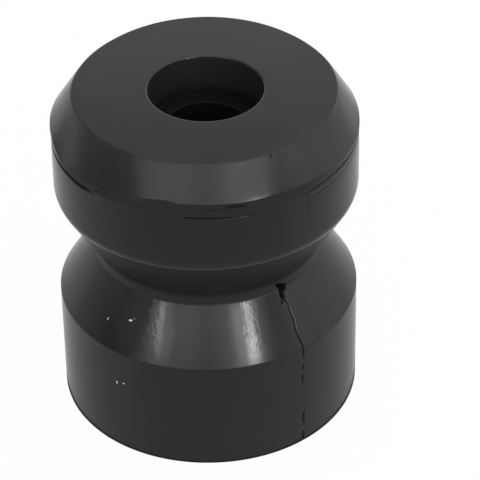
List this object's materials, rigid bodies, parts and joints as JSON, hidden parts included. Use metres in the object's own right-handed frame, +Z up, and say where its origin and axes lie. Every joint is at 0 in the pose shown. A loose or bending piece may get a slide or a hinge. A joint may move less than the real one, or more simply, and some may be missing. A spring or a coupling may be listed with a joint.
{
  "type": "rubber buffer",
  "caption": "Waisted cylindrical rubber buffer with a chamfered top and a stepped central hole, bolted through its flat base to cushion an end stop.",
  "frame": {"origin": "centre of the flat base", "axes": "+Z up the buffer's axis, from the bolted base to the striking face; -Y is the front, and the split line with the small tear is 39.3 degrees from the front towards +X"},
  "size_m": [0.0754, 0.0754, 0.0872],
  "materials": {
    "black_rubber": "moulded, semi-gloss"
  },
  "bodies": {
    "root": {"buffer_body": "black_rubber"}
  },
  "joints": []
}
